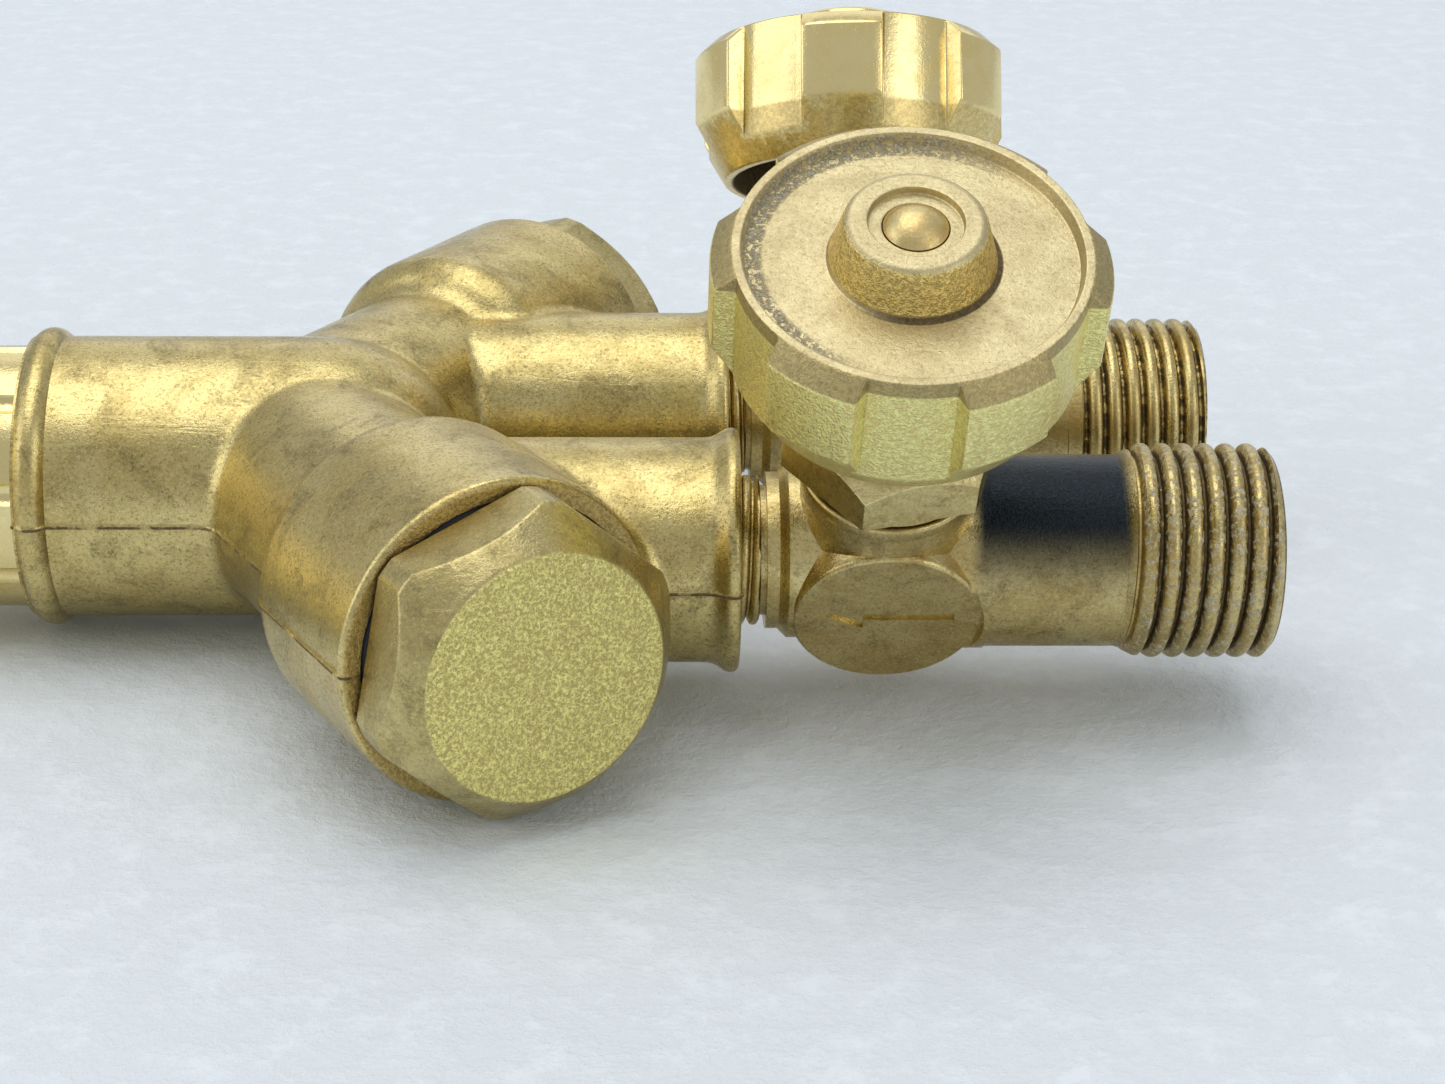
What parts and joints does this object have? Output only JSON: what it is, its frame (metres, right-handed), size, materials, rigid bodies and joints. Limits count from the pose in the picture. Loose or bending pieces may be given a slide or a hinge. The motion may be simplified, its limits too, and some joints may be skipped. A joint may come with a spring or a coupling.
{
  "type": "torch_handle",
  "caption": "Oxy-fuel torch handle in brass, with a fluted barrel, splayed flame arrestor chambers under hexagonal caps, check valves and needle valves with lobed knobs",
  "frame": {"origin": "on the handle's axis, at the first full turn of the head's thread", "axes": "+X along the handle to the hoses, +Y the oxygen side, +Z the knob side"},
  "size_m": [0.2066, 0.0762, 0.0404],
  "materials": {
    "forged_brass": "semigloss",
    "turned_brass": "gloss",
    "steel": "satin",
    "seal_rubber": "matte",
    "sintered": "matte",
    "ptfe": "matte"
  },
  "bodies": {
    "handle": {"rear_body": "forged_brass", "barrel": "turned_brass", "head": "turned_brass", "oxygen_tube": "turned_brass", "tube_seal": "seal_rubber", "fuel_arrestor_cap": "forged_brass", "fuel_cap_seal": "seal_rubber", "fuel_flame_element": "sintered", "fuel_check_ring": "turned_brass", "fuel_check_spring": "steel", "fuel_valve_body": "forged_brass", "fuel_packing_nut": "forged_brass", "fuel_packing_rings": "ptfe", "fuel_packing_gland": "turned_brass", "oxygen_arrestor_cap": "forged_brass", "oxygen_cap_seal": "seal_rubber", "oxygen_flame_element": "sintered", "oxygen_check_ring": "turned_brass", "oxygen_check_spring": "steel", "oxygen_valve_body": "forged_brass", "oxygen_packing_nut": "forged_brass", "oxygen_packing_rings": "ptfe", "oxygen_packing_gland": "turned_brass"},
    "fuel_ball": {"fuel_seat_ball": "steel"},
    "fuel_spindle": {"fuel_valve_stem": "turned_brass", "fuel_valve_knob": "turned_brass"},
    "fuel_poppet": {"fuel_check_poppet": "turned_brass", "fuel_check_seal": "seal_rubber"},
    "oxygen_ball": {"oxygen_seat_ball": "steel"},
    "oxygen_spindle": {"oxygen_valve_stem": "turned_brass", "oxygen_valve_knob": "turned_brass"},
    "oxygen_poppet": {"oxygen_check_poppet": "turned_brass", "oxygen_check_seal": "seal_rubber"}
  },
  "joints": [
    {"name": "fuel_stem_lift", "type": "slide", "parent": "handle", "child": "fuel_ball", "axis": [0, -0.4787, 0.878], "range_m": [0, 0.00175]},
    {"name": "fuel_stem_turn", "type": "hinge", "parent": "fuel_ball", "child": "fuel_spindle", "pos_m": [0.18019, -0.01372, 0], "axis": [0, -0.4787, 0.878], "range_deg": [0, 630]},
    {"name": "fuel_check_travel", "type": "slide", "parent": "handle", "child": "fuel_poppet", "axis": [-1, 0, 0], "range_m": [0, 0.0012], "stiffness_N_per_m": 100, "springref_m": -0.001, "deforming": ["fuel_check_spring"]},
    {"name": "oxygen_stem_lift", "type": "slide", "parent": "handle", "child": "oxygen_ball", "axis": [0, 0.4787, 0.878], "range_m": [0, 0.00175]},
    {"name": "oxygen_stem_turn", "type": "hinge", "parent": "oxygen_ball", "child": "oxygen_spindle", "pos_m": [0.18019, 0.01372, 0], "axis": [0, 0.4787, 0.878], "range_deg": [0, 630]},
    {"name": "oxygen_check_travel", "type": "slide", "parent": "handle", "child": "oxygen_poppet", "axis": [-1, 0, 0], "range_m": [0, 0.0012], "stiffness_N_per_m": 100, "springref_m": -0.001, "deforming": ["oxygen_check_spring"]}
  ],
  "couplings": [
    {"joint": "fuel_stem_turn", "follows": "fuel_stem_lift", "rad_per_m": 6283.2},
    {"joint": "oxygen_stem_turn", "follows": "oxygen_stem_lift", "rad_per_m": 6283.2}
  ]
}
